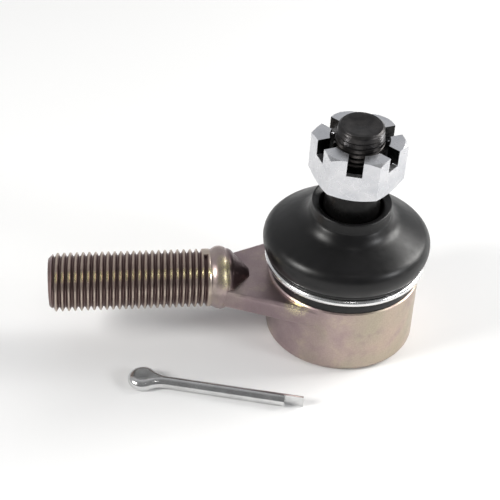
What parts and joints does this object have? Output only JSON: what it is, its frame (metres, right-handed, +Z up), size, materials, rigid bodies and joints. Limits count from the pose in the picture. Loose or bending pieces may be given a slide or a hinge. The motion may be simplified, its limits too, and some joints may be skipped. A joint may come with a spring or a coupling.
{
  "type": "tie rod end",
  "caption": "Steering tie rod end: a threaded male shank and a round ball socket under a rubber boot, with a tapered stud, a slotted nut and a loose split pin.",
  "frame": {"origin": "centre of the socket's bottom rim, on the plane that the part stands on, under the ball's centre", "axes": "+Z up out of the socket; -X out along the threaded shank; the arm's middle plane is XZ; the stud leans 5 degrees towards -Y at rest"},
  "size_m": [0.0911, 0.05, 0.0608],
  "materials": {
    "plated_forging": "satin zinc plating with a warm pink and yellow tint over a forged surface",
    "bright_zinc": "bright zinc plating",
    "dark_steel": "black oxide, oiled",
    "spring_steel": "hardened and tempered, blued",
    "acetal": "moulded acetal",
    "rubber": "moulded chloroprene, satin"
  },
  "bodies": {
    "socket": {"housing": "plated_forging", "end_cap": "plated_forging", "end_cap_seal": "rubber", "disc_spring": "spring_steel", "pressure_ring": "spring_steel", "lower_ball_seat": "acetal", "upper_ball_seat": "acetal", "boot_skirt": "rubber", "boot_clip_ring": "bright_zinc"},
    "boot_middle": {"boot_bellows": "rubber"},
    "boot_top": {"boot_collar": "rubber"},
    "stud": {"ball_stud": "dark_steel"},
    "nut": {"castle_nut": "bright_zinc"},
    "split_pin": {"cotter_pin": "bright_zinc"}
  },
  "joints": [
    {"name": "stud_swing_fore_aft", "type": "hinge", "parent": "socket", "child": "boot_middle", "pos_m": [0, 0, 0.0158], "axis": [0, 1, 0], "range_deg": [-18, 18], "deforming": ["boot_bellows"]},
    {"name": "stud_swing_side", "type": "hinge", "parent": "boot_middle", "child": "boot_top", "pos_m": [0, 0, 0.0158], "axis": [1, 0, 0], "range_deg": [-23, 13]},
    {"name": "stud_spin", "type": "hinge", "parent": "boot_top", "child": "stud", "pos_m": [0, 0, 0.0158], "axis": [0, -0.0872, 0.9962], "continuous": true},
    {"name": "nut_turn", "type": "hinge", "parent": "stud", "child": "nut", "pos_m": [0, -0.00266, 0.04618], "axis": [0, -0.0872, 0.9962], "continuous": true},
    {"name": "split_pin_lift", "type": "slide", "parent": "socket", "child": "split_pin", "axis": [0, 0, 1], "range_m": [0, 0.08]}
  ]
}
